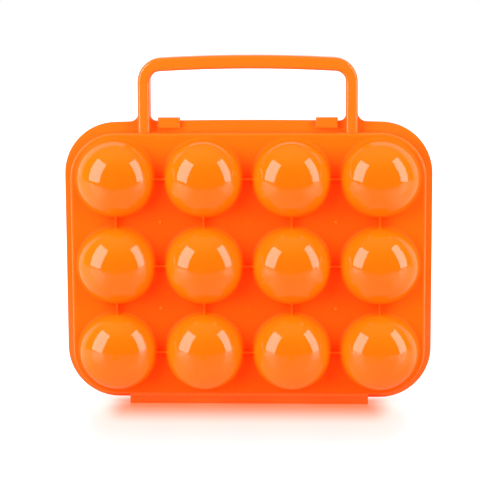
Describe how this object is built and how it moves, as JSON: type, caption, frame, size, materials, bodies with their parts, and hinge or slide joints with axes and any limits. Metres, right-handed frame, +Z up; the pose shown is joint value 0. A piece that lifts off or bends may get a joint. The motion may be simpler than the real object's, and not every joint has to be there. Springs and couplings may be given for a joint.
{
  "type": "egg carrier",
  "caption": "Clamshell egg carrier with domed cups in both halves, a film hinge along the foot, snap hooks and a split carrying handle.",
  "frame": {"origin": "middle of the foot rail's underside, on the plane where the halves meet", "axes": "+Z up, +X across the carrier to the right seen from the front, +Y from the front half to the rear half"},
  "size_m": [0.245, 0.0652, 0.2351],
  "materials": {
    "orange_plastic": "glossy moulded polypropylene"
  },
  "bodies": {
    "rear_half": {"rear_shell": "orange_plastic"},
    "front_half": {"front_shell": "orange_plastic"}
  },
  "joints": [
    {"name": "film_hinge", "type": "hinge", "parent": "rear_half", "child": "front_half", "pos_m": [0, 0, 0], "axis": [1, 0, 0], "range_deg": [0, 180]}
  ]
}
